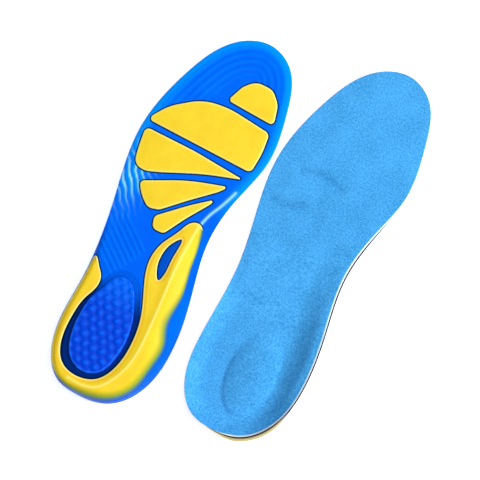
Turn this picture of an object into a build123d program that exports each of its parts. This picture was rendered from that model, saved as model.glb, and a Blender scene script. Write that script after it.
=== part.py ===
from build123d import *
import os
from math import atan, degrees, hypot

# A pair of cushioned gel insoles.  The left one lies the right way up; the right one
# lies beside it turned over, so its underside with the cushion pads shows.
# Millimetres, +Z up.  Plan coordinates of one insole: heel at y = 0, toes toward +y,
# the inner (medial) side of the foot toward +x, z = 0 the underside of the pads.

LENGTH = 288.0              # heel to toe, a men's 44-45 trim-to-fit insole
GRID_X, GRID_Y = 38, 61     # points across and along each height surface
HEEL_CROWDING = 0.5         # share by which the rows crowd toward the steep heel
SURFACE_MARGIN = 8.0        # how far the height surfaces run past the outline
SURFACE_TOLERANCE = 0.03
LOW, HIGH = -40.0, 60.0     # heights well below and well above the insole
PARALLEL_POINTS = 40        # points that a parallel curve is drawn through

COVER_THICKNESS = 0.8       # textile top cover
FOAM_THICKNESS = 1.2        # white foam under the cover
FOREFOOT_THICKNESS = 5.0    # pads to cover at the ball of the foot
HEEL_THICKNESS = 7.5        # the same under the heel
PAD_PROUD = 1.0             # pads and heel frame stand out from the gel base
PAD_BEDDED = 0.6            # depth of the pockets that hold them
RIM_RISE = 13.5             # height the heel cup adds to the edge
RIM_BEVEL = 2.4             # the cup's wall gets this much thinner toward its rim
CUP_WALL = 11.0             # plan width of the wall round the heel
CUP_POWER = 2.7             # how late that wall turns upward
ARCH_WALL = 21.0            # the same two for the gentler wall under the arch
ARCH_POWER = 1.8
CUP_INSIDE_EXTRA = 5.0      # the wall starts this much further in on the foot side
OUTER_WALL_FADE = (50, 125)  # y over which the wall dies out on the outer side
INNER_WALL_FADE = (70, 175)  # and on the inner side
INNER_SIDE_BLEND = (-20, 20)  # x over which the outer side turns into the inner side
ARCH_BLEND = (10, 70)       # y over which the cup's wall turns into the arch wall
HEEL_FADE = (70, 150)       # y over which the heel thins down to the forefoot
HEEL_DOME_CENTRE = (6.0, 47.0)  # oval cushion that bulges under the heel
HEEL_DOME_HALF = (18.0, 33.0)
HEEL_DOME_RISE = 1.5
HEEL_DOME_SIDE = (0.3, 1.1)  # shares of its half sizes between which the dome slopes
RIM_BEVEL_WIDTH = 8.0
GROOVE_DEPTH = 1.4          # channel in the gel around the heel pad
GROOVE_WIDTH = 2.6
HEEL_PAD_RECESS = 0.4       # the heel pad sits this far inside the frame's underside
HEEL_PAD_TOP = 2.9          # where the pad meets the gel base
CELL_PITCH = 7.0            # honeycomb cells on the heel pad
CELL_GAP = 1.2
CELL_HEIGHT = 0.6
CELLS_ACROSS, CELLS_ALONG = 8, 14

SURFACE_GROOVE_DEPTH = 0.4  # fine channels moulded into the bare gel
RIB_COUNT = 8               # slanted channels at the waist
RIB_START = (-36.5, 139.0)  # outer end of the foremost
RIB_SPACING = 5.2
RIB_ANGLE = -38.0
RIB_LENGTH, RIB_WIDTH = 37.0, 1.6
RIB_SHORTENING = 2.4
TOE_GROOVE_COUNT = 4
TOE_GROOVE_PITCH = 5.0
TOE_GROOVE_WIDTH = 1.2
TOE_GROOVE_START = 262.0

PAIR_SPACING = 96.1         # across, heel to heel
PAIR_STAGGER = 22.4         # the left insole lies this much nearer the toes
PAIR_SPLAY = 0.7            # and is turned out by this many degrees
RIM_END = 78.0              # where the cup's rim starts to drop, the turned one's support

OUTLINE = [(-2, 0), (20, 4.8), (37.5, 25), (43.5, 58), (39.3, 98), (32.8, 139), (37, 174),
           (46, 210), (42.3, 249), (29, 279.5), (9.5, LENGTH), (-12, 280.5), (-36.5, 243),
           (-48.6, 191), (-44, 150), (-38.5, 112), (-38.8, 56), (-33, 19), (-19.5, 3.5)]

# Corners of the forefoot pads, each with the radius that rounds it.
TOE_PAD = [(-1.2, 238, 3), (38.4, 235.6, 3.4), (34.3, 251.5, 14), (26, 259.8, 10),
           (12, 260, 12), (4.6, 252, 12)]
BALL_PAD_FRONT = [(-46.2, 200.5, 3), (38.4, 198.2, 4.5), (39.8, 214, 60), (38.2, 230.4, 5),
                  (3, 234.4, 70), (-17, 231.4, 40), (-37, 216.6, 40), (-44.6, 205.5, 8)]
BALL_PAD_MIDDLE = [(-45.6, 196, 4), (-5, 195.6, 200), (38.4, 192.2, 1.1), (8, 182.6, 200),
                   (-20, 170.2, 60), (-31, 166, 14), (-41, 167, 8), (-43.6, 180, 60)]
BALL_PAD_REAR = [(30, 183.8, 1.6), (0, 174.8, 150), (-32, 159, 3.4), (-26.5, 150, 30),
                 (-17.5, 143.2, 7), (-9, 145.4, 9), (6.6, 160.4, 100), (24, 176, 30)]
BALL_PAD_SLIM = [(25.8, 172.6, 1.5), (9.5, 159.6, 150), (-11, 140.6, 5), (-8, 131.3, 5),
                 (1.6, 131.4, 5), (11.5, 148.6, 150), (22.5, 165, 15)]
HEEL_PAD = [(-27, 55), (-25.5, 36), (-18.5, 22.5), (-7, 17.8), (4.5, 22), (11, 35),
            (12.6, 50), (10.5, 65), (5, 79), (-4, 91), (-13, 91), (-20, 80), (-24.8, 69)]
FRAME_OUTER = [(17, 148.5), (22, 149.6), (26.3, 146), (28.5, 137), (31, 116), (34.2, 98),
               (34, 86), (34.8, 73), (38.6, 62), (38, 43), (33.5, 23), (23, 9.5), (0, 1.8),
               (-19, 5.8), (-31.5, 18), (-36.8, 38), (-37.4, 60), (-37.2, 80), (-36.9, 93)]
FRAME_INNER = [(-35.6, 96.2), (-30, 91), (-25.3, 85), (-24.3, 78), (-28.5, 66), (-31, 50),
               (-29.5, 30), (-22, 17), (-8, 13.2), (5, 17.5), (14, 32), (16.5, 50), (14, 71),
               (5.5, 93), (1, 110), (3.5, 125), (11, 139)]
ARCH_WINDOW = [(15, 134), (9.5, 127), (7.3, 117), (8.5, 108), (13.5, 100.6), (15, 105),
               (15.3, 120)]


def smooth_step(start, end, value):
    """0 before start, 1 past end, with level ends."""
    t = min(max((value - start) / (end - start), 0.0), 1.0)
    return t * t * (3 - 2 * t)


def closed_face(points):
    """Flat face inside a smooth closed curve through the points."""
    return make_face(Spline(*points, periodic=True))


def parallel_face(points, inset):
    """Flat face whose edge runs this far inside a counterclockwise closed curve."""
    curve = Spline(*points, periodic=True)
    steps = [index / PARALLEL_POINTS for index in range(PARALLEL_POINTS)]
    return closed_face([curve @ t + (curve % t).rotate(Axis.Z, 90) * inset for t in steps])


def rounded_face(corners):
    """Flat face inside a polygon whose corners each have their own radius."""
    points = [(x, y) for x, y, radius in corners]
    radii = [radius for x, y, radius in corners]
    return make_face(FilletPolyline(*points, radius=radii, close=True))


def prism(face, bottom=LOW, top=HIGH):
    """Upright block on the face, from the height bottom to the height top."""
    return extrude(Pos(0, 0, bottom) * face, top - bottom)


OUTLINE_FACE = closed_face(OUTLINE)
OUTLINE_EDGE = OUTLINE_FACE.edges()[0]


def edge_distance(x, y):
    """Distance in from the outline, negative outside it."""
    distance = OUTLINE_EDGE.distance_to(Vertex(x, y, 0))
    return distance if OUTLINE_FACE.is_inside((x, y, 0)) else -distance


def wall(x, y, inset, extra_width=0.0):
    """Height the heel cup and arch wall add at a point this far in from the edge."""
    medial = smooth_step(*INNER_SIDE_BLEND, x)
    rise = RIM_RISE * (1 - smooth_step(*OUTER_WALL_FADE, y)) * (1 - medial)
    rise += RIM_RISE * (1 - smooth_step(*INNER_WALL_FADE, y)) * medial
    arch = medial * smooth_step(*ARCH_BLEND, y)
    width = CUP_WALL + (ARCH_WALL - CUP_WALL) * arch + extra_width
    power = CUP_POWER + (ARCH_POWER - CUP_POWER) * arch
    climb = max(1 - inset / width, 0.0)
    if climb > 1:           # past the edge the surface runs straight on
        return rise * (1 + power * (climb - 1))
    return rise * climb ** power


def underside(x, y, inset):
    """Outer face of the pads and the frame: level, then up the outside of the cup."""
    return wall(x, y, inset)


def foot_side(x, y, inset):
    """Top face of the cover: level, domed under the heel, then up into the cup."""
    heel = 1 - smooth_step(*HEEL_FADE, y)
    height = FOREFOOT_THICKNESS + (HEEL_THICKNESS - FOREFOOT_THICKNESS) * heel
    across = (x - HEEL_DOME_CENTRE[0]) / HEEL_DOME_HALF[0]
    along = (y - HEEL_DOME_CENTRE[1]) / HEEL_DOME_HALF[1]
    height += HEEL_DOME_RISE * (1 - smooth_step(*HEEL_DOME_SIDE, hypot(across, along)))
    height -= RIM_BEVEL * heel * (1 - smooth_step(0, RIM_BEVEL_WIDTH, inset))
    return height + wall(x, y, inset, CUP_INSIDE_EXTRA)


def below(height, points):
    """Solid under a height surface, reaching well below the insole."""
    rows = [[(x, y, height(x, y, inset)) for x, y, inset in row] for row in points]
    surface = Face.make_surface_from_array_of_points(rows, tol=SURFACE_TOLERANCE)
    return extrude(surface, HIGH - LOW, dir=(0, 0, -1))


def between(block, lower, upper):
    """The part of an upright block that lies over one surface solid and in another."""
    return (block & upper) - (block & lower)


def surface_grid():
    """Plan points of the height surfaces, each with its distance in from the edge."""
    box = OUTLINE_FACE.bounding_box()
    width = box.size.X + 2 * SURFACE_MARGIN
    length = box.size.Y + 2 * SURFACE_MARGIN
    xs = [box.min.X - SURFACE_MARGIN + width * i / (GRID_X - 1) for i in range(GRID_X)]
    steps = [j / (GRID_Y - 1) for j in range(GRID_Y)]
    shares = [step * (1 - HEEL_CROWDING + HEEL_CROWDING * step) for step in steps]
    ys = [box.min.Y - SURFACE_MARGIN + length * share for share in shares]
    return [[(x, y, edge_distance(x, y)) for x in xs] for y in ys]


def honeycomb():
    """Upright hexagonal bars that leave the raised cells of the heel pad."""
    cell = RegularPolygon(CELL_PITCH / 2 - CELL_GAP / 2, 6, major_radius=False)
    centres = HexLocations(CELL_PITCH / 2, CELLS_ACROSS, CELLS_ALONG)
    middle = Pos(*HEEL_DOME_CENTRE, 0)
    return [prism(middle * centre * cell) for centre in centres]


def midfoot_grooves():
    """Slanted channels across the waist of the gel base, shorter toward the heel."""
    grooves = []
    for index in range(RIB_COUNT):
        length = RIB_LENGTH - RIB_SHORTENING * index
        start = Pos(RIB_START[0], RIB_START[1] - RIB_SPACING * index)
        slot = start * Rot(0, 0, RIB_ANGLE) * Pos(length / 2, 0) * SlotOverall(length, RIB_WIDTH)
        grooves.append(prism(slot, top=PAD_PROUD + SURFACE_GROOVE_DEPTH))
    return grooves


def toe_grooves():
    """Channels that run round the toe in step with its outline."""
    toe_end = Pos(0, LENGTH) * Rectangle(LENGTH, 2 * (LENGTH - TOE_GROOVE_START))
    grooves = []
    for index in range(TOE_GROOVE_COUNT):
        inset = TOE_GROOVE_PITCH * (index + 1)
        outer = parallel_face(OUTLINE, inset)
        inner = parallel_face(OUTLINE, inset + TOE_GROOVE_WIDTH)
        ring = (outer - inner) & toe_end
        grooves.append(prism(ring, top=PAD_PROUD + SURFACE_GROOVE_DEPTH))
    return grooves


def insole():
    """Every piece of one insole, the right way up, by name."""
    points = surface_grid()
    under = below(underside, points)
    gel_under = Pos(0, 0, PAD_PROUD) * under
    pocket = Pos(0, 0, PAD_BEDDED) * gel_under
    channel = Pos(0, 0, GROOVE_DEPTH) * gel_under
    top = below(foot_side, points)
    under_cover = Pos(0, 0, -COVER_THICKNESS) * top
    under_foam = Pos(0, 0, -FOAM_THICKNESS) * under_cover
    outline = prism(OUTLINE_FACE)

    frame_face = closed_face(FRAME_OUTER + FRAME_INNER) - closed_face(ARCH_WINDOW)
    flat_pads = {
        "toe_pad": prism(rounded_face(TOE_PAD), 0, PAD_PROUD + PAD_BEDDED),
        "ball_pad_front": prism(rounded_face(BALL_PAD_FRONT), 0, PAD_PROUD + PAD_BEDDED),
    }
    bedded = {
        "ball_pad_middle": prism(rounded_face(BALL_PAD_MIDDLE)),
        "ball_pad_rear": prism(rounded_face(BALL_PAD_REAR)),
        "ball_pad_slim": prism(rounded_face(BALL_PAD_SLIM)),
        "heel_frame": prism(frame_face),
    }
    heel_face = closed_face(HEEL_PAD)
    heel_block = prism(heel_face, 0, HEEL_PAD_TOP)
    heel_plate = prism(heel_face, HEEL_PAD_RECESS + CELL_HEIGHT, HEEL_PAD_TOP)
    cell_zone = prism(heel_face, HEEL_PAD_RECESS, HEEL_PAD_TOP)
    cells = [cell for bar in honeycomb() for cell in (cell_zone & bar).solids()]

    gel = between(outline, gel_under, under_foam)
    gel -= [block & pocket for block in bedded.values()] + list(flat_pads.values())
    gel -= prism(parallel_face(HEEL_PAD, -GROOVE_WIDTH)) & channel
    gel -= heel_block
    gel -= midfoot_grooves() + toe_grooves()

    pieces = {
        "top_cover": between(outline, under_cover, top),
        "foam_layer": between(outline, under_foam, under_cover),
        "gel_base": gel,
        "heel_pad": heel_plate + cells,
        **flat_pads,
    }
    for name, block in bedded.items():
        pieces[name] = between(block, under, pocket)
    return pieces


def main():
    os.makedirs("parts", exist_ok=True)
    pieces = insole()
    left_place = Pos(PAIR_SPACING, PAIR_STAGGER, 0) * Rot(0, 0, -PAIR_SPLAY)
    left = {f"left_{name}": left_place * piece for name, piece in pieces.items()}

    # Turned over, the insole lies on the rim of its heel cup and the tip of its toe.
    lean = Rot(-degrees(atan(RIM_RISE / (LENGTH - RIM_END))), 0, 0)
    right = {f"right_{name}": lean * mirror(piece, about=Plane.XY)
             for name, piece in pieces.items()}
    lowest = min(piece.bounding_box().min.Z for piece in right.values())
    right = {name: Pos(0, 0, -lowest) * piece for name, piece in right.items()}

    pair = {**left, **right}
    box = Compound([solid for piece in pair.values() for solid in piece.solids()]).bounding_box()
    centring = Pos(-box.center().X, -box.center().Y, -box.min.Z)
    for name, piece in pair.items():
        export_step(centring * piece, f"parts/{name}.step")


main()
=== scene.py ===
import math

import bpy
import numpy as np
from mathutils import Matrix, Vector
from mathutils.geometry import delaunay_2d_cdt
from mathutils.kdtree import KDTree


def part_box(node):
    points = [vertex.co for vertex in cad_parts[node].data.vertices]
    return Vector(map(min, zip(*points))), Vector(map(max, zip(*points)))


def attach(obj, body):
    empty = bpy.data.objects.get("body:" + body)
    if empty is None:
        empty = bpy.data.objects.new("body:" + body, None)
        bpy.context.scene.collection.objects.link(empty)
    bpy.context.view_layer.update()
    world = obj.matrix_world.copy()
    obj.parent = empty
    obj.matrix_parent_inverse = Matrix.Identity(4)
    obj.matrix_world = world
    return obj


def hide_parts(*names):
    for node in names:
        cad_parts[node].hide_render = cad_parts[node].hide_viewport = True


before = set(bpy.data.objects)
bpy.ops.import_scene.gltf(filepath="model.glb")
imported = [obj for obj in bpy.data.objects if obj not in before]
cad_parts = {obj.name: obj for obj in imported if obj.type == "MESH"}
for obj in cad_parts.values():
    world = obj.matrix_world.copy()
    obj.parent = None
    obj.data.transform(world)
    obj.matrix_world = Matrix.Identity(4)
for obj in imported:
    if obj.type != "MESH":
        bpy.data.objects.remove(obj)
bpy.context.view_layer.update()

# A pair of cushioned gel insoles.  The shapes are worked out in the plan frame of one
# insole, in millimetres: heel at y = 0, toes toward +y, inner side of the foot toward +x,
# z = 0 the underside of the pads.  Every piece is then placed in the row frame, in metres.
# A pair in brackets is where a change starts and where it ends, except for the pairs that
# are points, half sizes or directions, or that say otherwise.
MM = 0.001
LENGTH = 288.0
SIDES = ("left", "right")

# Layers, and how the yellow pieces sit in the gel.
COVER_THICKNESS = 0.8
FOAM_THICKNESS = 1.2
FOREFOOT_THICKNESS = 5.0
HEEL_THICKNESS = 7.5
HEEL_FADE = (70, 150)       # y over which the heel thins down to the forefoot
FOREFOOT_START = (150, 185)
PAD_PROUD = 1.0
PAD_BEDDED = 0.6
PAD_SLACK = 0.5             # the forefoot pads lie this much inside their corners
THINNEST_GEL = 0.3
THINNEST_FRAME = 0.1

# Heel cup and arch wall: how high they rise, their widths, and how steeply they curl.
RIM_RISE = 13.5
RIM_BEVEL, RIM_BEVEL_WIDTH = 2.4, 8.0
CUP_WALL, CUP_POWER = 11.0, 2.7
ARCH_WALL, ARCH_POWER = 18.0, 1.8
OUTER_WALL, OUTER_POWER = 6.5, 3.2      # the outer side turns upward nearer its edge
FOOT_EXTRA = (9.0, 5.0)     # the wall is wider on the foot side: outer and inner side
RIM_ROLL, RIM_ROLL_WIDTH = 1.5, 5.5     # the pressed rim levels off at its edge
OUTER_WALL_FADE = (50, 125)
INNER_WALL_FADE = (70, 175)
INNER_SIDE_BLEND = (-20, 20)
ARCH_BLEND = (10, 70)

# Heel dome of the foot side, with a low step round its rear half.
HEEL_DOME_CENTRE = (6.0, 47.0)
HEEL_DOME_HALF = (18.0, 33.0)
HEEL_DOME_RISE = 3.75
HEEL_DOME_STEP = 0.525
HEEL_DOME_STEP_AT = (0.9, 1.0)          # in radii of the dome
HEEL_DOME_STEP_FADE = (0.1, 0.9)        # in half lengths ahead of its centre

# Cover and foam edges, the cover's unevenness and its soft creases.
COVER_INSET = 0.15          # the foam's cut edge shows past the cover by this much
INNER_COVER_INSET = 0.9     # and by this much along the inner side
INNER_TRIM_X, INNER_TRIM_END = (0, 15), (170, 215)
COVER_EDGE_RADIUS, FOAM_EDGE_RADIUS = 0.5, 0.25
COVER_UNEVENNESS, COVER_UNEVEN_SIZE, COVER_UNEVEN_INSET = 0.08, 24, (1, 8)
CREASE_WIDTH, CREASE_DEPTH = 6, 0.55

# Gel body: rounded edge, and the brighter band along the edge of the forefoot.
GEL_EDGE_RADIUS, GEL_EDGE, GEL_FOREFOOT_EDGE = 3.2, 0.1, 0.2
EDGE_BAND = (1, 9)

# Ribs across the waist, the rings round the toe, and the wrinkles beside the ribs.  Ribs
# and rings are soft ridges that stand out of the gel.
RIB_START = (-36.5, 139.0)  # outer end of the foremost rib across the waist
RIB_COUNT, RIB_HEIGHT = 8, 0.4
RIB_SPACING, RIB_SLOPE = 5.2, math.tan(math.radians(38))
RIB_REACH, RIB_REACH_LOSS, RIB_END = 33, 2, 3       # along x; each reaches less far
RING_SPACING, RING_HEIGHT, RING_SKEW = 5, 0.3, 0.35
RINGS_BEGIN, RINGS_END, RINGS_FADE_IN = (3, 5), (23, 27), (205, 250)
WRINKLE_CENTRE, WRINKLE_ZONE, WRINKLE_STRETCH = (-38, 160), 20, 0.55
WRINKLE_SPACING, WRINKLE_WANDER, WRINKLE_HEIGHT = 4.6, 1.2, 0.4
WRINKLE_ACROSS = (0.8, 0.55)            # runs across the wrinkles
ARCH_CREASE_WIDTH, ARCH_CREASE_HEIGHT = 1.8, 0.6

# Groove at the joint round the yellow pieces, and the channel round the heel cushion.
JOINT_DEPTH, JOINT_SIDE, JOINT_INSET = 0.5, (0.5, 1.3), (1.2, 2.6)
JOINT_FRAME_FADE = (0.5, 4)             # no groove where the frame thins out
CHANNEL_DEPTH, CHANNEL_SIDE = 1.4, 1.4
CHANNEL_WIDTH, CHANNEL_WIDENING, CHANNEL_NARROWS = 3.4, 3.2, (40, 72)
CHANNEL_MOUTH, MOUTH_FILLED = (66, 94), 0.8

# Yellow pads and the yellow frame.
PAD_EDGE_RADIUS, PAD_UNEVENNESS = 0.85, 0.03
PAD_CROWN, PAD_CROWN_WIDTH = 0.15, 7
# band over which the painted highlight along the edges of the yellow pieces fades out
RIM_HIGHLIGHT = (0.3, 1.5)
FRAME_EDGE_RADIUS, FRAME_SETBACK = 0.6, 0.05
CREST_WIDTH, CREST_HEIGHT = 7, 0.5
CREST_LINE_WIDTH, CREST_LINE_HEIGHT = 1.6, 0.2
BEVEL, BEVEL_DEPTH = (0.8, 3.8), 0.35
SEAM_INSET, SEAM_WIDTH, SEAM_DEPTH = 4.4, 0.9, 0.12
OUTER_FADE, WING_FADE, HEEL_EXTRA_FADE = 1.5, 2, 5.5    # widths of the thinning
FADE_NARROWS, FADE_SIDE_BLEND, FADE_SETBACK = (70, 115), (-30, 10), 0.4

# Heel cushion.
HEEL_PAD_RECESS = 0.4
HEEL_PAD_TOP = 2.9
HEEL_PAD_EDGE_RADIUS = 1.1
CELL_PITCH, CELL_WANDER, BUMP_HEIGHT = 7.0, 0.7, 0.6

# How the insoles lie, and where the soft walls of each stand out past the rim: how far,
# the y over which that ends, and the x over which it begins.
PAIR_SPLAY = 0.7            # degrees that the left insole is turned
RIM_END = 78.0              # where the cup's rim starts to drop, the turned one's support
LEFT_SPREAD, LEFT_SPREAD_Y = 2.2, 172   # the left one is wider at the ball's inner side
LEFT_SPREAD_LENGTH, LEFT_SPREAD_X = 90, (0, 40)
FLARE_DEPTH = 9
HEEL_FLARES = {"left": [(1.0, (160, 210), (-12, 4)), (2.3, (14, 42), (-2, 16))],
               "right": [(1.8, (45, 90), (-5, -30))]}

# Gel of the left insole only: the straw strip of its heel wall, and the painted shadow
# line along its inner rim.
STRAW_X, STRAW_END, STRAW_DEPTH = (-24, -8), (25, 45), (2, 6)
DARK_RIM_X, DARK_RIM_BACK, DARK_RIM_DEPTH = (0, 10), (28, 45), (0.3, 0.8)

# Table and camera, in metres.
FLOOR_HALF, FLOOR_GAP = 3.0, 0.0001
CAMERA_TARGET = Vector((0.0042, -0.0027, 0.008))
CAMERA_BACK = Vector((0.1019, 0.0349, 0.9942))
CAMERA_UP = Vector((-0.4433, 0.8963, 0.0140))
CAMERA_DISTANCE = 1.2

OUTLINE = [(-2, 0), (20, 4.8), (37.5, 25), (43.5, 58), (39.3, 98), (32.8, 139), (37, 174),
           (46, 210), (42.3, 249), (29, 279.5), (9.5, LENGTH), (-12, 280.5), (-36.5, 243),
           (-48.6, 191), (-44, 150), (-38.5, 112), (-38.8, 56), (-33, 19), (-19.5, 3.5)]

# Corners of the forefoot pads, each with the radius that rounds it.
PADS = {
    "toe_pad": [(-1.2, 238, 3), (38.4, 235.6, 3.4), (34.3, 251.5, 14), (26, 259.8, 10),
                (12, 260, 12), (4.6, 252, 12)],
    "ball_pad_front": [(-46.2, 200.5, 3), (38.4, 198.2, 4.5), (39.8, 214, 60),
                       (38.2, 230.4, 5), (3, 234.4, 70), (-17, 231.4, 40),
                       (-37, 216.6, 40), (-44.6, 205.5, 8)],
    "ball_pad_middle": [(-45.6, 196, 4), (-5, 195.6, 200), (38.4, 192.2, 1.1),
                        (8, 182.6, 200), (-20, 170.2, 60), (-31, 166, 14), (-41, 167, 8),
                        (-43.6, 180, 60)],
    "ball_pad_rear": [(30, 183.8, 1.6), (0, 174.8, 150), (-32, 159, 3.4), (-26.5, 150, 30),
                      (-17.5, 143.2, 7), (-9, 145.4, 9), (6.6, 160.4, 100), (24, 176, 30)],
    "ball_pad_slim": [(25.8, 172.6, 1.5), (9.5, 159.6, 150), (-11, 140.6, 5),
                      (-8, 131.3, 5), (1.6, 131.4, 5), (11.5, 148.6, 150), (22.5, 165, 15)],
}
HEEL_PAD = [(-27, 55), (-25.5, 36), (-18.5, 22.5), (-7, 17.8), (4.5, 22), (11, 35),
            (12.6, 50), (10.5, 65), (5, 79), (-4, 91), (-13, 91), (-20, 80), (-24.8, 69)]
FRAME_OUTER = [(17, 148.5), (22, 149.6), (26.3, 146), (28.5, 137), (31, 116), (34.2, 98),
               (34, 86), (34.8, 73), (38.6, 62), (38, 43), (33.5, 23), (23, 9.5), (0, 1.8),
               (-19, 5.8), (-31.5, 18), (-36.8, 38), (-37.4, 60), (-37.2, 80), (-36.9, 93)]
FRAME_INNER = [(-35.6, 96.2), (-30, 91), (-25.3, 85), (-24.3, 78), (-28.5, 66), (-31, 50),
               (-29.5, 30), (-22, 17), (-8, 13.2), (5, 17.5), (14, 32), (16.5, 50), (14, 71),
               (5.5, 93), (1, 110), (3.5, 125), (11, 139)]
ARCH_WINDOW = [(15, 134), (9.5, 127), (7.3, 117), (8.5, 108), (13.5, 100.6), (15, 105),
               (15.3, 120)]
FRAME_CREASE = [(22, 147), (21, 128), (21.5, 98), (23.5, 60), (21.5, 36), (14, 19.5),
                (0, 9.5), (-14, 9.5)]
ARCH_CREASE = [(35, 181), (30, 168), (24.5, 156), (22, 147)]
COVER_CREASES = [[(-37, 166), (-26, 167), (-17, 171.5)], [(-29, 193), (-10, 197), (2.5, 193)]]


# ---------------------------------------------------------------- plan curves

def smooth_step(start, end, value):
    """0 before start, 1 past end, with level ends."""
    t = np.clip((value - start) / (end - start), 0.0, 1.0)
    return t * t * (3 - 2 * t)


def closed_curve(points, step=0.8):
    """Smooth closed curve through the points, about one step between samples."""
    points = np.array(points, float)
    following = np.roll(points, -1, axis=0)
    chord = np.linalg.norm(following - points, axis=1)
    count = len(points)
    system = np.zeros((count, count))
    target = np.zeros((count, 2))
    for i in range(count):
        before, after = chord[i - 1], chord[i]
        system[i, i - 1] += after
        system[i, i] += 2 * (before + after)
        system[i, (i + 1) % count] += before
        target[i] = 3 * (after * (points[i] - points[i - 1]) / before
                         + before * (following[i] - points[i]) / after)
    slopes = np.linalg.solve(system, target)
    samples = []
    for i in range(count):
        t = np.linspace(0, 1, max(2, round(chord[i] / step)), endpoint=False)[:, None]
        samples.append((2 * t**3 - 3 * t**2 + 1) * points[i]
                       + (t**3 - 2 * t**2 + t) * chord[i] * slopes[i]
                       + (3 * t**2 - 2 * t**3) * following[i]
                       + (t**3 - t**2) * chord[i] * slopes[(i + 1) % count])
    return np.vstack(samples)


def open_curve(points, step=0.5):
    """Smooth open curve: half of the closed one that runs there and back."""
    there = closed_curve(list(points) + list(points[-2:0:-1]), step)
    farthest = np.argmin(np.linalg.norm(there - np.array(points[-1]), axis=1))
    return there[:farthest + 1]


def resampled(loop, step):
    """The closed polyline, counterclockwise, with points at equal spacing."""
    ahead = np.roll(loop, -1, axis=0)
    if (loop[:, 0] * ahead[:, 1] - ahead[:, 0] * loop[:, 1]).sum() < 0:
        loop = loop[::-1]
    ring = np.vstack([loop, loop[:1]])
    along = np.concatenate([[0], np.cumsum(np.linalg.norm(np.diff(ring, axis=0), axis=1))])
    places = np.linspace(0, along[-1], max(8, round(along[-1] / step)), endpoint=False)
    return np.stack([np.interp(places, along, ring[:, k]) for k in (0, 1)], axis=1)


def rounded_curve(corners, step=0.8):
    """Closed polygon whose corners are arcs of their own radius."""
    points = []
    for i, (x, y, radius) in enumerate(corners):
        corner = np.array((x, y), float)
        back = np.array(corners[i - 1][:2]) - corner
        ahead = np.array(corners[(i + 1) % len(corners)][:2]) - corner
        back /= np.linalg.norm(back)
        ahead /= np.linalg.norm(ahead)
        half = math.acos(np.clip(back @ ahead, -1, 1)) / 2
        bisector = (back + ahead) / np.linalg.norm(back + ahead)
        centre = corner + bisector * radius / math.sin(half)
        first = corner + back * radius / math.tan(half) - centre
        last = corner + ahead * radius / math.tan(half) - centre
        for t in np.linspace(0, 1, 9)[:, None]:
            spoke = first * (1 - t) + last * t
            points.append(centre + radius * spoke / np.linalg.norm(spoke))
    return resampled(np.vstack(points), step)


def outward(loop):
    """Unit normals of a counterclockwise closed curve, pointing out of it."""
    tangent = np.roll(loop, -1, axis=0) - np.roll(loop, 1, axis=0)
    tangent /= np.linalg.norm(tangent, axis=1)[:, None]
    return np.stack([tangent[:, 1], -tangent[:, 0]], axis=1)


def parallel_curve(loop, inset):
    """The closed curve moved inward, or outward if inset is negative."""
    return loop - outward(loop) * inset


def nearest_on(points, line):
    """For each point, the number of the nearest sample of a line."""
    tree = KDTree(len(line))
    for index, (x, y) in enumerate(line):
        tree.insert((x, y, 0), index)
    tree.balance()
    return np.array([tree.find((x, y, 0))[1] for x, y in points])


def distance_to(points, line, closed=True):
    """Distance of each point to an evenly sampled line."""
    nearest = nearest_on(points, line)
    distance = np.full(len(points), np.inf)
    for step in (-1, 0):
        ends = np.stack([nearest + step, nearest + step + 1])
        ends = ends % len(line) if closed else np.clip(ends, 0, len(line) - 1)
        start, span = line[ends[0]], line[ends[1]] - line[ends[0]]
        length_squared = np.maximum((span**2).sum(axis=1), 1e-12)
        t = np.clip(((points - start) * span).sum(axis=1) / length_squared, 0, 1)[:, None]
        distance = np.minimum(distance, np.linalg.norm(points - start - t * span, axis=1))
    return distance


def inside(points, loop):
    """Whether each point is inside the closed polyline."""
    x, y = points[:, 0], points[:, 1]
    result = np.zeros(len(points), bool)
    for (ax, ay), (bx, by) in zip(loop, np.roll(loop, -1, axis=0)):
        if ay != by:
            crosses = ((ay > y) != (by > y)) & (x < (bx - ax) * (y - ay) / (by - ay) + ax)
            result ^= crosses
    return result


EDGE = resampled(closed_curve(OUTLINE, 0.5), 0.8)
PAD_LOOPS = {name: resampled(parallel_curve(rounded_curve(corners), PAD_SLACK), 0.8)
             for name, corners in PADS.items()}
HEEL_LOOP = resampled(closed_curve(HEEL_PAD), 0.8)
FRAME_LOOP = resampled(closed_curve(FRAME_OUTER + FRAME_INNER), 0.7)
WINDOW_LOOP = resampled(closed_curve(ARCH_WINDOW), 0.6)
FRAME_CREASE_LINE = open_curve(FRAME_CREASE)
ARCH_CREASE_LINE = open_curve(ARCH_CREASE)
FADE_LINE = open_curve(FRAME_OUTER[2:])
INNER_LINE = open_curve(FRAME_INNER)


# ---------------------------------------------------------------- height surfaces

def edge_inset(points):
    """Distance in from the insole's outline, 0 outside it."""
    return distance_to(points, EDGE) * inside(points, EDGE)


def wall(points, inset, extra=(0.0, 0.0)):
    """Height that the heel cup and the arch wall add.

    extra widens the wall's slope: at the outer side, then at the inner side.
    """
    x, y = points[:, 0], points[:, 1]
    medial = smooth_step(*INNER_SIDE_BLEND, x)
    rise = RIM_RISE * (1 - smooth_step(*OUTER_WALL_FADE, y)) * (1 - medial)
    rise += RIM_RISE * (1 - smooth_step(*INNER_WALL_FADE, y)) * medial
    arch = medial * smooth_step(*ARCH_BLEND, y)
    inner_width = CUP_WALL + (ARCH_WALL - CUP_WALL) * arch + extra[1]
    inner_power = CUP_POWER + (ARCH_POWER - CUP_POWER) * arch
    width = inner_width * medial + (OUTER_WALL + extra[0]) * (1 - medial)
    power = inner_power * medial + OUTER_POWER * (1 - medial)
    return rise * np.clip(1 - inset / width, 0, 1) ** power


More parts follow.
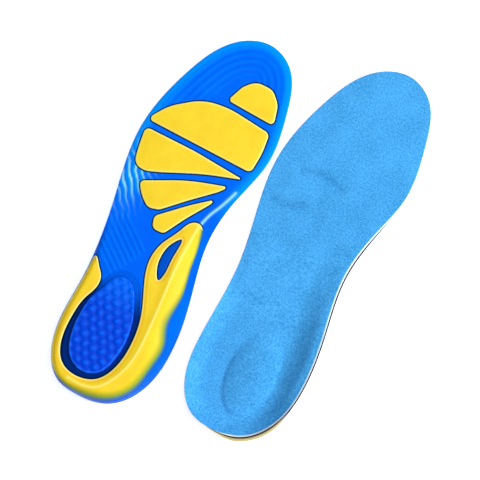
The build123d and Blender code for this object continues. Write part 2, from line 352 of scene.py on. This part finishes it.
def foot_side(points, inset):
    """Top face of the cover: the heel dome, stepped round its rear half, in the heel cup."""
    x, y = points[:, 0], points[:, 1]
    heel = 1 - smooth_step(*HEEL_FADE, y)
    height = FOREFOOT_THICKNESS + (HEEL_THICKNESS - FOREFOOT_THICKNESS) * heel
    across = (x - HEEL_DOME_CENTRE[0]) / HEEL_DOME_HALF[0]
    along = (y - HEEL_DOME_CENTRE[1]) / HEEL_DOME_HALF[1]
    radius = np.hypot(across, along)
    step = HEEL_DOME_STEP * (1 - smooth_step(*HEEL_DOME_STEP_FADE, along))
    height += HEEL_DOME_RISE * np.clip(1 - radius**2, 0, 1)
    height += step * (1 - smooth_step(*HEEL_DOME_STEP_AT, radius))
    height -= RIM_BEVEL * heel * (1 - smooth_step(0, RIM_BEVEL_WIDTH, inset))
    rise = wall(points, inset, FOOT_EXTRA)
    rolled = RIM_ROLL * (1 - smooth_step(0, RIM_ROLL_WIDTH, inset))
    return height + rise - rolled * np.clip(rise / RIM_RISE, 0, 1)


def fillet(distance, radius):
    """How far a rounded edge of this radius falls back from the face."""
    gap = np.clip(radius - distance, 0, radius)
    return radius - np.sqrt(radius**2 - gap**2)


def ridge(distance, width):
    """Bell-shaped line, 1 on it and near 0 past its width."""
    return np.exp(-(distance / (0.5 * width)) ** 2)


def noise(points, size, seed):
    """Smooth random unevenness between about -1 and 1, with features of this size."""
    rng = np.random.default_rng(seed)
    total = np.zeros(len(points))
    for _ in range(12):
        angle = rng.uniform(0, 2 * math.pi)
        pace = rng.uniform(0.6, 1.5) * 2 * math.pi / size
        wave = pace * (points[:, 0] * math.cos(angle) + points[:, 1] * math.sin(angle))
        total += np.sin(wave + rng.uniform(0, 2 * math.pi))
    return total / 5


# ---------------------------------------------------------------- meshes

class Plan:
    """A flat triangulation of the area inside a loop and outside its holes."""

    def __init__(self, outer, pitch, holes=(), rings=(0.15, 0.4, 0.8, 1.4), extra=()):
        loops = [outer, *holes]
        low, high = outer.min(axis=0), outer.max(axis=0)
        xs = np.arange(low[0], high[0], pitch)
        ys = np.arange(low[1], high[1], pitch * 0.866)
        grid = np.array([(x + pitch / 2 * (j % 2), y) for j, y in enumerate(ys) for x in xs])
        inner = [grid[self._clear(grid, loops, max(rings) + pitch * 0.5)]]
        for depth in rings:
            for index, loop in enumerate(loops):
                ring = parallel_curve(loop, depth if index == 0 else -depth)
                inner.append(ring[self._clear(ring, loops, depth * 0.93)])
        for line in extra:
            inner.append(line[self._clear(line, loops, max(rings) + 0.2)])
        corners, edges = [], []
        for loop in loops:
            first = len(corners)
            corners.extend(loop)
            edges += [(first + k, first + (k + 1) % len(loop)) for k in range(len(loop))]
        flat = [Vector(point) for point in np.vstack([np.array(corners), *inner])]
        verts, _, faces, *_ = delaunay_2d_cdt(flat, edges, [], 0, 1e-5)
        self.points = np.array([(v.x, v.y) for v in verts])
        faces = np.array([tuple(face) for face in faces])
        centres = self.points[faces].mean(axis=1)
        self.faces = faces[self._clear(centres, loops, 0)]
        self.distance = np.min([distance_to(self.points, loop) for loop in loops], axis=0)
        self.inset = edge_inset(self.points)
        self.boundary = self._boundary()

    @staticmethod
    def _clear(points, loops, margin):
        """Which points are in the area and at least this far from its loops."""
        result = inside(points, loops[0])
        for hole in loops[1:]:
            result &= ~inside(points, hole)
        if margin > 0:
            for loop in loops:
                result &= distance_to(points, loop) >= margin
        return result

    def _boundary(self):
        """Directed edges that only one triangle uses."""
        sides = {(a, b) for tri in self.faces.tolist() for a, b in zip(tri, tri[1:] + tri[:1])}
        return [(a, b) for a, b in sides if (b, a) not in sides]


def turned(side, points):
    """Plan-frame points in millimetres, turned as the insole lies and made metres."""
    if side == "left":
        points = points.copy()
        spread = LEFT_SPREAD * ridge(points[:, 1] - LEFT_SPREAD_Y, LEFT_SPREAD_LENGTH)
        points[:, 0] += spread * smooth_step(*LEFT_SPREAD_X, points[:, 0])
        turn = Matrix.Rotation(math.radians(-PAIR_SPLAY), 3, "Z")
    else:
        lean = -math.atan(RIM_RISE / (LENGTH - RIM_END))
        turn = Matrix.Rotation(lean, 3, "X") @ Matrix.Diagonal((1, 1, -1))
    return points @ np.array(turn).T * MM


def centring():
    """Shift that puts each insole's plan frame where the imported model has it."""
    top = foot_side(EDGE, np.zeros(len(EDGE)))
    layers = (top - COVER_THICKNESS, top - COVER_THICKNESS - FOAM_THICKNESS)
    foam = np.vstack([np.column_stack([EDGE, layer]) for layer in layers])
    sole = np.column_stack([PAD_LOOPS["toe_pad"], 0 * PAD_LOOPS["toe_pad"][:, 0]])
    shifts = {}
    for side in SIDES:
        placed = turned(side, foam)
        low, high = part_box(f"{side}_foam_layer")
        shifts[side] = (np.array(low) + np.array(high) - placed.min(axis=0)
                        - placed.max(axis=0)) / 2
        shifts[side][0] = low[0] - placed[:, 0].min()
    shifts["left"][2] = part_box("left_toe_pad")[0][2]
    shifts["right"][2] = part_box("right_toe_pad")[1][2] - turned("right", sole)[:, 2].max()
    return shifts


SHIFT = centring()


def heel_flare(side, plan):
    """Sideways shifts by which an insole's heel and arch walls stand out past the rim."""
    x, y = plan.points[:, 0], plan.points[:, 1]
    reach = np.zeros(len(plan.points))
    for standing_out, ends_over_y, begins_over_x in HEEL_FLARES[side]:
        reach += standing_out * (1 - smooth_step(*ends_over_y, y)) * smooth_step(*begins_over_x, x)
    reach *= 1 - smooth_step(0, FLARE_DEPTH, plan.inset)
    return outward(EDGE)[nearest_on(plan.points, EDGE)] * reach[:, None]


def solid(side, name, plan, lower, upper, slot, material, tints=None, flared=(0, 0)):
    """One insole's piece: the closed mesh between two heights over a plan.

    tints are named values, one for each plan point or one for each of the lower and then
    the upper points; flared says whether the lower and the upper face follow the flare.
    """
    count = len(plan.points)
    flare = heel_flare(side, plan) if any(flared) else np.zeros((count, 2))
    points = np.vstack([np.column_stack([plan.points + flare * flared[0], lower]),
                        np.column_stack([plan.points + flare * flared[1], upper])])
    faces = [tuple(tri[::-1]) for tri in plan.faces.tolist()]
    faces += [tuple(tri) for tri in (plan.faces + count).tolist()]
    faces += [(a, b, b + count, a + count) for a, b in plan.boundary]
    if side == "right":         # the mirrored insole
        faces = [face[::-1] for face in faces]
    points = turned(side, points) + SHIFT[side]
    mesh = bpy.data.meshes.new(f"{side}_{name}_look")
    mesh.from_pydata(points.tolist(), [], faces)
    mesh.shade_smooth()
    mesh.set_sharp_from_angle(angle=math.radians(55))
    for label, values in (tints or {}).items():
        attribute = mesh.attributes.new(label, "FLOAT", "POINT")
        both = np.tile(values, 2 * count // len(values))
        attribute.data.foreach_set("value", both.astype(np.float32))
    mesh.materials.append(material)
    piece = bpy.data.objects.new(f"{side}_{name}_look", mesh)
    bpy.context.scene.collection.objects.link(piece)
    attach(piece, f"{side}_insole")
    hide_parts(f"{side}_{name}")
    return piece


# ---------------------------------------------------------------- pieces
# Each piece's function works out its plan and heights once, and returns the left and the
# right insole's copies.  The functions before it give the shapes and tints it is made of.

def both_sides(*shape, **options):
    """The left and the right insole's copies of one shape."""
    return [solid(side, *shape, **options) for side in SIDES]


def top_covers():
    """Textile cover, slightly uneven, with the soft creases of the forefoot and painted shade in
    them.
    """
    inner_side = smooth_step(*INNER_TRIM_X, EDGE[:, 0])
    inner_side *= 1 - smooth_step(*INNER_TRIM_END, EDGE[:, 1])
    trim = COVER_INSET + (INNER_COVER_INSET - COVER_INSET) * inner_side
    plan = Plan(parallel_curve(EDGE, trim[:, None]), 1.5, rings=(0.12, 0.3, 0.6, 1.2))
    points = plan.points
    face = foot_side(points, plan.inset)
    top = face - fillet(plan.distance, COVER_EDGE_RADIUS)
    uneven = COVER_UNEVENNESS * noise(points, COVER_UNEVEN_SIZE, seed=3)
    top += uneven * smooth_step(*COVER_UNEVEN_INSET, plan.distance)
    # the crease mask also darkens the cover: painted shade in the creases
    crease_and_shade = np.zeros(len(points))
    for crease in COVER_CREASES:
        gap = distance_to(points, open_curve(crease), closed=False)
        crease_and_shade = np.maximum(crease_and_shade, ridge(gap, CREASE_WIDTH))
    top -= CREASE_DEPTH * crease_and_shade
    return both_sides("top_cover", plan, face - COVER_THICKNESS, top, "cover_textile",
                      cover_material(), tints={"crease_and_shade": crease_and_shade})


def foam_layers():
    """White foam between the cover and the gel."""
    plan = Plan(EDGE, 2.5, rings=(0.15, 0.5, 1.2))
    face = foot_side(plan.points, plan.inset)
    upper = face - COVER_THICKNESS - fillet(plan.distance, FOAM_EDGE_RADIUS)
    lower = face - COVER_THICKNESS - FOAM_THICKNESS
    return both_sides("foam_layer", plan, lower, upper, "white_foam", foam_material())


def waist_ribs(points):
    """Slanted ridges at the outer side of the waist, between 0 and 1."""
    along = points[:, 0] - RIB_START[0]
    index = (RIB_START[1] - points[:, 1] - along * RIB_SLOPE) / RIB_SPACING
    wave = 0.5 + 0.5 * np.cos(2 * math.pi * index)
    zone = smooth_step(-1.0, -0.4, index)
    zone *= 1 - smooth_step(RIB_COUNT - 0.6, RIB_COUNT, index)
    reach = RIB_REACH - RIB_REACH_LOSS * index
    zone *= smooth_step(-2, 1, along) * (1 - smooth_step(reach - RIB_END, reach, along))
    return wave * zone


def toe_rings(points, inset):
    """Ridges that run round the toe in step with the outline, between 0 and 1."""
    wave = 0.5 + 0.5 * np.cos(2 * math.pi * inset / RING_SPACING)
    zone = smooth_step(*RINGS_BEGIN, inset) * (1 - smooth_step(*RINGS_END, inset))
    zone *= smooth_step(*RINGS_FADE_IN, points[:, 1] - RING_SKEW * points[:, 0])
    return wave * zone


def waist_wrinkles(points):
    """Wrinkles beside the ribs: where they are, 0 to 1, and their waves, -1 to 1."""
    zone_x, zone_y = WRINKLE_CENTRE
    zone = ridge(np.hypot(points[:, 0] - zone_x, WRINKLE_STRETCH * (points[:, 1] - zone_y)),
                 WRINKLE_ZONE)
    across = points @ WRINKLE_ACROSS + WRINKLE_WANDER * noise(points, 18, 5)
    return zone, np.sin(2 * math.pi * across / WRINKLE_SPACING)


def yellow_pockets(points):
    """Where the gel makes room for a yellow piece."""
    pocket = inside(points, FRAME_LOOP) & ~inside(points, WINDOW_LOOP)
    for loop in PAD_LOOPS.values():
        pocket |= inside(points, loop)
    return pocket


def joint_grooves(points, inset):
    """Groove round every yellow piece, 1 at its bottom, but not where the frame thins out."""
    gap = np.where(inside(points, FRAME_LOOP), 0, distance_to(points, FRAME_LOOP))
    window = inside(points, WINDOW_LOOP)
    gap = np.where(window, distance_to(points, WINDOW_LOOP), gap)
    groove = 1 - smooth_step(*JOINT_SIDE, gap)
    groove *= smooth_step(*JOINT_FRAME_FADE, distance_to(points, FADE_LINE, closed=False))
    for loop in PAD_LOOPS.values():
        groove = np.maximum(groove, 1 - smooth_step(*JOINT_SIDE, distance_to(points, loop)))
    return groove * smooth_step(*JOINT_INSET, inset)


def heel_channel(points):
    """Channel round the heel cushion, 1 at its bottom, narrower and fainter at its mouth."""
    y = points[:, 1]
    width = CHANNEL_WIDTH + CHANNEL_WIDENING * (1 - smooth_step(*CHANNEL_NARROWS, y))
    gap = distance_to(points, HEEL_LOOP)
    channel = 1 - smooth_step(width, width + CHANNEL_SIDE, gap)
    return channel * (1 - MOUTH_FILLED * smooth_step(*CHANNEL_MOUTH, y))


def gel_plan():
    """Plan of the gel base, with points along the edge of every pocket and groove."""
    around = []
    for loop in (*PAD_LOOPS.values(), FRAME_LOOP, WINDOW_LOOP):
        around += [parallel_curve(loop, depth) for depth in (-1.3, -0.7, -0.12, 0.25)]
    around += [parallel_curve(HEEL_LOOP, depth) for depth in (-4.5, -3.2, -1.6, -0.15, 0.3)]
    return Plan(EDGE, 0.95, rings=(0.15, 0.4, 0.8, 1.4), extra=around)


def gel_rims(points, inset):
    """Left insole only: the straw strip of the heel wall and the painted shadow at the inner rim.
    """
    x, y = points[:, 0], points[:, 1]
    straw = (1 - smooth_step(*STRAW_END, y)) * smooth_step(*STRAW_X, x)
    straw *= 1 - smooth_step(*STRAW_DEPTH, inset)
    rim_shadow = 1 - smooth_step(*DARK_RIM_DEPTH, inset)
    rim_shadow *= smooth_step(*DARK_RIM_BACK, y) * smooth_step(*DARK_RIM_X, x)
    return straw, rim_shadow


def gel_bases(material):
    """Blue gel body: heel cup and arch wall, pockets, channel, ribs and toe rings."""
    plan = gel_plan()
    points, inset = plan.points, plan.inset
    face = wall(points, inset) + PAD_PROUD
    forefoot = smooth_step(*FOREFOOT_START, points[:, 1])
    ribs, rings = waist_ribs(points), toe_rings(points, inset)
    crease = ridge(distance_to(points, ARCH_CREASE_LINE, closed=False), ARCH_CREASE_WIDTH)
    wrinkle_zone, wrinkles = waist_wrinkles(points)
    groove, pocket = joint_grooves(points, inset), yellow_pockets(points)
    in_heel = inside(points, HEEL_LOOP)
    channel = heel_channel(points) * (~in_heel & ~pocket)

    edge = GEL_EDGE + GEL_FOREFOOT_EDGE * forefoot
    lower = face + edge * fillet(inset, GEL_EDGE_RADIUS)
    lower -= RIB_HEIGHT * ribs + RING_HEIGHT * rings
    lower -= ARCH_CREASE_HEIGHT * crease
    lower += WRINKLE_HEIGHT * wrinkles * wrinkle_zone + JOINT_DEPTH * groove
    lower = np.where(pocket, face + PAD_BEDDED, lower)
    lower += CHANNEL_DEPTH * channel
    lower = np.where(in_heel, HEEL_PAD_TOP, lower)
    upper = foot_side(points, inset) - COVER_THICKNESS - FOAM_THICKNESS
    upper = np.maximum(upper, lower + THINNEST_GEL)

    edge_band = forefoot * (1 - smooth_step(*EDGE_BAND, inset))
    tints = {
        # painted shade in the heel channel and the arch window
        "deep": np.maximum(channel, 0.5 * inside(points, WINDOW_LOOP)),
        # lighter along the thin forefoot edge, with painted highlights on the waist wrinkles, ribs
        # and toe rings
        "thin_edge_and_highlight": np.maximum.reduce([edge_band, 0.8 * wrinkle_zone, 0.2 * ribs, 0.2 * rings]),
        "glint": np.maximum(crease, wrinkle_zone * smooth_step(0.2, 1.0, wrinkles)),
    }
    straw, rim_shadow = gel_rims(points, inset)
    bases = []
    for side in SIDES:
        tints["straw"] = straw * (side == "left")
        # painted shade in the grooves round the yellow pieces and, on the left insole, a painted
        # shadow along the inner rim; the upper face is painted dark all over, which shades the top
        # of the side wall under the foam
        line = np.maximum(groove * ~pocket, rim_shadow * (side == "left"))
        tints["line"] = np.concatenate([line, np.ones(len(points))])
        bases.append(solid(side, "gel_base", plan, lower, upper, "blue_gel", material,
                           tints=tints, flared=(1, 0)))
    return bases


def forefoot_pads(name, material):
    """Yellow pad with a rounded edge, very slightly crowned and uneven."""
    plan = Plan(PAD_LOOPS[name], 2.0, rings=(0.06, 0.2, 0.45, 0.8, 1.3))
    face = wall(plan.points, plan.inset)
    lower = face + fillet(plan.distance, PAD_EDGE_RADIUS)
    lower += PAD_CROWN * (1 - smooth_step(0, PAD_CROWN_WIDTH, plan.distance))
    lower += PAD_UNEVENNESS * (1 + noise(plan.points, 9, seed=len(name)))
    # painted highlight along the pad's edge
    rim_highlight = 1 - smooth_step(*RIM_HIGHLIGHT, plan.distance)
    tints = {"rim_highlight": rim_highlight, "fade": 0 * rim_highlight, "bevel_and_shade": 0 * rim_highlight}
    return both_sides(name, plan, lower, face + PAD_PROUD + PAD_BEDDED, "yellow_gel",
                      material, tints=tints)


def frame_fade(points):
    """How far the frame has thinned into the gel: 1 at its outer edge, 0 well inside."""
    heel = 1 - smooth_step(*FADE_NARROWS, points[:, 1])
    inner_side = smooth_step(*FADE_SIDE_BLEND, points[:, 0])
    width = OUTER_FADE + (WING_FADE + HEEL_EXTRA_FADE * heel) * inner_side
    return 1 - smooth_step(0, width, distance_to(points, FADE_LINE, closed=False))


def heel_frames(material):
    """Yellow U round the heel with its arch wing, crease line and window."""
    around = [FRAME_CREASE_LINE + step for step in ((-0.8, 0), (0, 0), (0.8, 0))]
    plan = Plan(FRAME_LOOP, 1.2, holes=[WINDOW_LOOP], rings=(0.08, 0.25, 0.5, 0.9, 1.5),
                extra=around)
    points = plan.points
    face = wall(points, plan.inset)
    fade = frame_fade(points)
    inner = np.minimum(distance_to(points, INNER_LINE, closed=False),
                       distance_to(points, WINDOW_LOOP))
    # the bevel mask also paints shade on the bevels in the yellow material
    bevel_and_shade = 1 - smooth_step(*BEVEL, inner)
    crease_gap = distance_to(points, FRAME_CREASE_LINE, closed=False)
    crest, crest_line = ridge(crease_gap, CREST_WIDTH), ridge(crease_gap, CREST_LINE_WIDTH)
    lower = face + CREST_HEIGHT + CREST_LINE_HEIGHT + FRAME_SETBACK
    lower -= CREST_HEIGHT * crest + CREST_LINE_HEIGHT * crest_line
    lower += fillet(plan.distance, FRAME_EDGE_RADIUS) * (1 - fade) + FADE_SETBACK * fade
    lower += BEVEL_DEPTH * bevel_and_shade * (1 - fade)
    lower += SEAM_DEPTH * ridge(inner - SEAM_INSET, SEAM_WIDTH)
    lower = np.minimum(lower, face + PAD_PROUD + PAD_BEDDED - THINNEST_FRAME)
    # painted highlight along the frame's edges and its crest line
    rim_highlight = np.maximum(1 - smooth_step(*RIM_HIGHLIGHT, plan.distance), 0.8 * crest_line) * (1 - fade)
    return both_sides("heel_frame", plan, lower, face + PAD_PROUD + PAD_BEDDED,
                      "yellow_gel", material, flared=(1, 1),
                      tints={"rim_highlight": rim_highlight, "fade": fade, "bevel_and_shade": bevel_and_shade})


def heel_pads():
    """Deep blue cushion with a honeycomb of soft bumps."""
    plan = Plan(HEEL_LOOP, 0.9, rings=(0.12, 0.35, 0.7, 1.2))
    points = plan.points
    pace = 4 * math.pi / (math.sqrt(3) * CELL_PITCH)
    wander = CELL_WANDER * np.stack([noise(points, 19, seed) for seed in (6, 7)], axis=1)
    waves = np.zeros(len(points))
    for turn in np.radians((90, 210, 330)):
        waves += np.cos(pace * (points + wander) @ (math.cos(turn), math.sin(turn)))
    uneven = 0.7 + 0.3 * noise(points, 16, seed=8)
    bumps = smooth_step(-0.5, 1.0, waves / 3) * np.clip(uneven, 0.25, 1)
    lower = HEEL_PAD_RECESS + BUMP_HEIGHT * (1 - bumps)
    lower += fillet(plan.distance, HEEL_PAD_EDGE_RADIUS)
    # painted highlights: along the cushion's edge, fading out toward its front, and on the crown
    # of each bump
    rim_highlight = ridge(plan.distance - 0.9, 0.8) * (1 - smooth_step(50, 80, points[:, 1]))
    tints = {"bump_highlight": bumps, "mouth": smooth_step(60, 92, points[:, 1]), "rim_highlight": rim_highlight}
    return both_sides("heel_pad", plan, lower, np.full(len(points), HEEL_PAD_TOP),
                      "deep_blue_gel", deep_gel_material(), tints=tints)


# ---------------------------------------------------------------- materials

class Shader:
    """A new node material and the few wiring steps the materials here share."""

    def __init__(self, name, **sockets):
        self.material = bpy.data.materials.new(name)
        self.material.use_nodes = True
        self.tree = self.material.node_tree
        self.surface = self.tree.nodes["Principled BSDF"]
        for socket, value in sockets.items():
            self.surface.inputs[socket.replace("_", " ")].default_value = value
        self.place = self.node("ShaderNodeTexCoord").outputs["Object"]

    def node(self, kind, **inputs):
        """New node with its inputs set to values or linked to sockets."""
        node = self.tree.nodes.new(kind)
        for name, value in inputs.items():
            socket = node.inputs[name.replace("_", " ")]
            if isinstance(value, bpy.types.NodeSocket):
                self.tree.links.new(value, socket)
            else:
                socket.default_value = value
        return node

    def noise(self, scale, detail=2.0, roughness=0.5):
        """Noise fixed to the piece, about 0 to 1."""
        return self.node("ShaderNodeTexNoise", Vector=self.place, Scale=scale,
                         Detail=detail, Roughness=roughness).outputs["Fac"]

    def attribute(self, name):
        """One of the tints that solid() stored on the mesh."""
        node = self.node("ShaderNodeAttribute")
        node.attribute_name = name
        return node.outputs["Fac"]

    def range(self, value, low, high, to_low=0.0, to_high=1.0):
        """The value's stretch from low to high, mapped to another and clamped to it."""
        return self.node("ShaderNodeMapRange", Value=value, From_Min=low, From_Max=high,
                         To_Min=to_low, To_Max=to_high).outputs["Result"]

    def mix(self, factor, first, second):
        """Colour between the first, at factor 0, and the second, at factor 1."""
        node = self.tree.nodes.new("ShaderNodeMix")
        node.data_type = "RGBA"
        for index, value in ((0, factor), (6, first), (7, second)):
            if isinstance(value, bpy.types.NodeSocket):
                self.tree.links.new(value, node.inputs[index])
            else:
                node.inputs[index].default_value = value
        return node.outputs[2]

    def color(self, socket):
        """Use a socket as the surface's base colour."""
        self.tree.links.new(socket, self.surface.inputs["Base Color"])

    def bump(self, height, strength, distance):
        """Add fine relief on top of any relief that is there already."""
        node = self.node("ShaderNodeBump", Height=height, Strength=strength,
                         Distance=distance)
        previous = self.surface.inputs["Normal"]
        if previous.is_linked:
            self.tree.links.new(previous.links[0].from_socket, node.inputs["Normal"])
        self.tree.links.new(node.outputs["Normal"], previous)


def rgb(red, green, blue):
    """Linear colour from the sRGB values of a swatch, 0 to 255."""
    def linear(value):
        value /= 255
        return value / 12.92 if value <= 0.04045 else ((value + 0.055) / 1.055) ** 2.4
    return (linear(red), linear(green), linear(blue), 1.0)


def cover_material():
    """Short brushed pile: mottled light blue with fine pale and dark flecks, and painted shade in
    the creases.
    """
    shader = Shader("cover_textile", Roughness=0.95, Sheen_Weight=0.12, Sheen_Roughness=0.4,
                    Sheen_Tint=(0.75, 0.88, 1.0, 1.0), Specular_IOR_Level=0.1)
    cloud = shader.range(shader.noise(55, 3), 0.35, 0.65)
    fleck = shader.range(shader.noise(800, 3, 0.7), 0.38, 0.62)
    base = shader.mix(cloud, rgb(52, 148, 214), rgb(68, 168, 238))
    shade = shader.mix(fleck, rgb(28, 114, 184), rgb(96, 188, 250))
    base = shader.mix(0.5, base, shade)
    # painted shade in the forefoot creases
    crease_and_shade = shader.range(shader.attribute("crease_and_shade"), 0, 1, 0, 0.25)
    shader.color(shader.mix(crease_and_shade, base, rgb(24, 96, 160)))
    shader.bump(shader.noise(300, 2), 0.3, 0.0006)
    shader.bump(shader.noise(1500, 4, 0.75), 0.7, 0.0003)
    return shader.material


def foam_material():
    """White closed-cell foam with open pores along its cut edge."""
    shader = Shader("white_foam", Roughness=0.85, Subsurface_Weight=0.15,
                    Subsurface_Scale=0.001)
    pores = shader.node("ShaderNodeTexVoronoi", Vector=shader.place, Scale=1600)
    tone = shader.range(pores.outputs["Distance"], 0.0, 0.5)
    shader.color(shader.mix(tone, rgb(214, 218, 216), rgb(244, 246, 243)))
    shader.bump(pores.outputs["Distance"], 0.5, 0.0002)
    return shader.material


def blue_gel_material():
    """Glossy moulded gel, lighter where it is thin, with painted highlights and painted shade."""
    shader = Shader("blue_gel", Roughness=0.36, Specular_IOR_Level=0.07, IOR=1.45,
                    Specular_Tint=(0.15, 0.5, 1.0, 1.0),
                    Subsurface_Weight=0.05, Subsurface_Scale=0.002)
    cloud = shader.range(shader.noise(45, 2), 0.3, 0.7)
    base = shader.mix(cloud, rgb(0, 92, 236), rgb(0, 104, 246))
    # lighter along the thin forefoot edge; painted highlights on the waist wrinkles, ribs and toe
    # rings
    base = shader.mix(shader.attribute("thin_edge_and_highlight"), base, rgb(0, 142, 252))
    base = shader.mix(shader.attribute("glint"), base, rgb(150, 228, 255))
    base = shader.mix(shader.attribute("straw"), base, rgb(206, 190, 134))
    # painted shade in the heel channel and the arch window
    base = shader.mix(shader.attribute("deep"), base, rgb(0, 36, 112))
    # painted shade in the grooves and under the foam, and a painted shadow along the left insole's
    # inner rim
    line = shader.range(shader.attribute("line"), 0.35, 0.75)
    shader.color(shader.mix(line, base, rgb(6, 22, 50)))
    shader.bump(shader.noise(700, 2), 0.12, 0.0002)
    shader.bump(shader.noise(120, 2), 0.15, 0.0006)
    return shader.material


def deep_gel_material():
    """Deeper blue gel of the heel cushion, with painted highlights on each bump's crown and its
    edge.
    """
    shader = Shader("deep_blue_gel", Roughness=0.27, Specular_IOR_Level=0.3, IOR=1.45,
                    Specular_Tint=(0.15, 0.5, 1.0, 1.0),
                    Subsurface_Weight=0.1, Subsurface_Scale=0.002)
    # painted highlight on the crown of each bump
    base = shader.mix(shader.attribute("bump_highlight"), rgb(0, 56, 208), rgb(0, 88, 240))
    base = shader.mix(shader.attribute("mouth"), base, rgb(0, 96, 238))
    # painted highlight along the cushion's edge
    shader.color(shader.mix(shader.attribute("rim_highlight"), base, rgb(30, 110, 240)))
    shader.bump(shader.noise(600, 2), 0.15, 0.0002)
    return shader.material


def yellow_gel_material():
    """Satin yellow gel: painted highlight along rims, painted shade on bevels, green to blue where
    it thins out.
    """
    shader = Shader("yellow_gel", Roughness=0.42, Specular_IOR_Level=0.2, IOR=1.45,
                    Subsurface_Weight=0.08, Subsurface_Scale=0.002)
    cloud = shader.range(shader.noise(60, 3), 0.3, 0.7)
    base = shader.mix(cloud, rgb(234, 200, 26), rgb(241, 209, 38))
    # painted shade on the inner bevels
    bevel_and_shade = shader.range(shader.attribute("bevel_and_shade"), 0, 1, 0, 0.6)
    base = shader.mix(bevel_and_shade, base, rgb(236, 172, 20))
    # painted highlight along the rims and the crest line
    rim_highlight = shader.range(shader.attribute("rim_highlight"), 0, 1, 0, 0.8)
    base = shader.mix(rim_highlight, base, rgb(252, 242, 140))
    fade = shader.attribute("fade")
    base = shader.mix(shader.range(fade, 0.1, 0.85), base, rgb(118, 156, 50))
    shader.color(shader.mix(shader.range(fade, 0.8, 1.0), base, rgb(0, 92, 180)))
    shader.bump(shader.noise(900, 3), 0.2, 0.0002)
    shader.bump(shader.noise(150, 2), 0.12, 0.0006)
    return shader.material


# ---------------------------------------------------------------- stage

def floor():
    """Plain pale light table under the pair."""
    level = -FLOOR_GAP
    mesh = bpy.data.meshes.new("floor")
    corners = [(-FLOOR_HALF, -FLOOR_HALF, level), (FLOOR_HALF, -FLOOR_HALF, level),
               (FLOOR_HALF, FLOOR_HALF, level), (-FLOOR_HALF, FLOOR_HALF, level)]
    mesh.from_pydata(corners, [], [(0, 1, 2, 3)])
    shader = Shader("floor", Roughness=0.9, Emission_Color=(1, 1, 1, 1),
                    Emission_Strength=0.5)
    tone = shader.range(shader.noise(6, 2), 0.3, 0.7)
    shader.color(shader.mix(tone, (0.9, 0.9, 0.9, 1), (0.93, 0.93, 0.93, 1)))
    mesh.materials.append(shader.material)
    plane = bpy.data.objects.new("floor", mesh)
    bpy.context.scene.collection.objects.link(plane)


def soft_light(name, spot, size, power):
    """Square area light at a spot, aimed at the pair."""
    data = bpy.data.lights.new(name, "AREA")
    data.size = size
    data.energy = power
    light = bpy.data.objects.new(name, data)
    light.location = spot
    light.rotation_euler = (-Vector(spot)).to_track_quat("-Z", "Y").to_euler()
    bpy.context.scene.collection.objects.link(light)


def world_light():
    """Dim white surroundings."""
    world = bpy.data.worlds.new("studio")
    world.use_nodes = True
    background = world.node_tree.nodes["Background"]
    background.inputs["Color"].default_value = (1, 1, 1, 1)
    background.inputs["Strength"].default_value = 0.2
    bpy.context.scene.world = world
    bpy.context.scene.view_settings.view_transform = "Standard"


def camera():
    """Nearly overhead, leaning to the inner side, toes to the upper right."""
    data = bpy.data.cameras.new("camera")
    data.sensor_width = 36
    data.lens = 125.5
    data.clip_end = 20
    back = CAMERA_BACK.normalized()
    right = CAMERA_UP.cross(back).normalized()
    up = back.cross(right)
    turn = Matrix((right, up, back)).transposed().to_4x4()
    view = bpy.data.objects.new("camera", data)
    view.matrix_world = Matrix.Translation(CAMERA_TARGET + CAMERA_DISTANCE * back) @ turn
    bpy.context.scene.collection.objects.link(view)
    bpy.context.scene.camera = view


def build_insoles():
    """Every piece of both insoles."""
    foams, covers = foam_layers(), top_covers()
    yellow = yellow_gel_material()
    padded = [*foams, *gel_bases(blue_gel_material()), *heel_pads()]
    for name in PADS:
        padded += forefoot_pads(name, yellow)
    heel_frames(yellow)


build_insoles()
floor()
soft_light("key", spot=(1.15, 0.5, 0.85), size=0.35, power=24)
soft_light("fill", spot=(0.1, 0.1, 1.5), size=0.8, power=9.5)
world_light()
camera()
